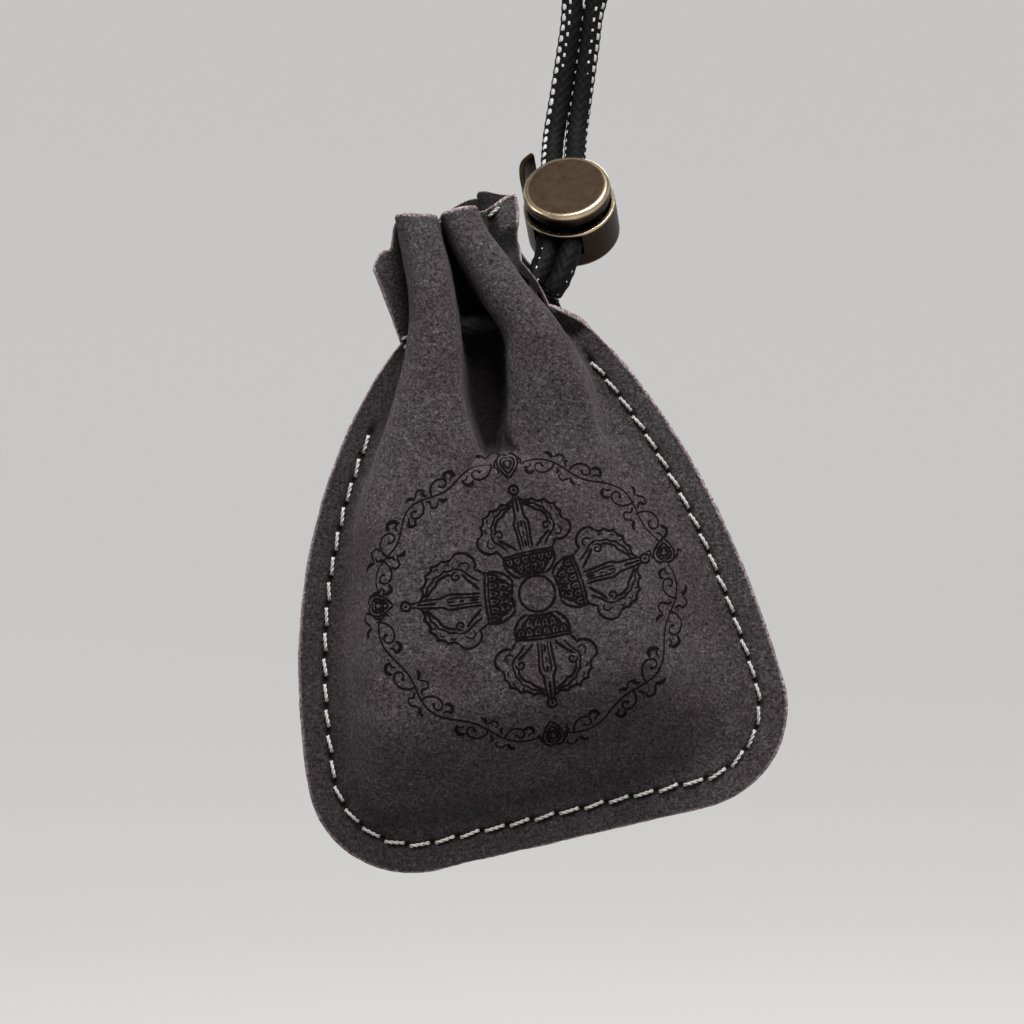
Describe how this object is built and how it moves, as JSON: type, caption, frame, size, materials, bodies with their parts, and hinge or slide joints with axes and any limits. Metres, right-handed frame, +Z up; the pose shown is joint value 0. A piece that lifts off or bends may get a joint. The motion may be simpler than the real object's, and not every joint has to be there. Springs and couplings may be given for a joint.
{
  "type": "everyday carry pouch",
  "caption": "Small suede drawstring pouch with rounded foot, stitched edge, doubled cord and a round brass spring cord lock, hanging drawn shut from its cord loop.",
  "frame": {"origin": "top of the cord's loop, from which the pouch hangs", "axes": "+X to the right and -Y to the front as seen from the pouch's decorated face; +Z up along the hanging cord"},
  "size_m": [0.0749, 0.0271, 0.1657],
  "materials": {
    "suede": "dark grey-brown napped suede, matt",
    "thread": "off-white waxed thread",
    "cord_braid": "black braid with pale reflective flecks",
    "antique_brass": "antique brass, satin face with bright worn edges",
    "spring_steel": "plain spring wire"
  },
  "bodies": {
    "pouch": {"front_panel": "suede", "back_panel": "suede", "seam_thread_front": "thread", "seam_thread_back": "thread", "drawstring_neck": "cord_braid", "drawstring_loop": "cord_braid"},
    "lock": {"lock_body": "antique_brass", "lock_spring": "spring_steel"},
    "button": {"lock_button": "antique_brass"}
  },
  "joints": [
    {"name": "lock_slide", "type": "slide", "parent": "pouch", "child": "lock", "axis": [0.0487, 0.5828, 0.8111], "range_m": [0, 0.008]},
    {"name": "button_press", "type": "slide", "parent": "lock", "child": "button", "axis": [0.1361, 0.8007, -0.5835], "range_m": [0, 0.0012], "stiffness_N_per_m": 400, "springref_m": -0.001, "deforming": ["lock_spring"]}
  ]
}
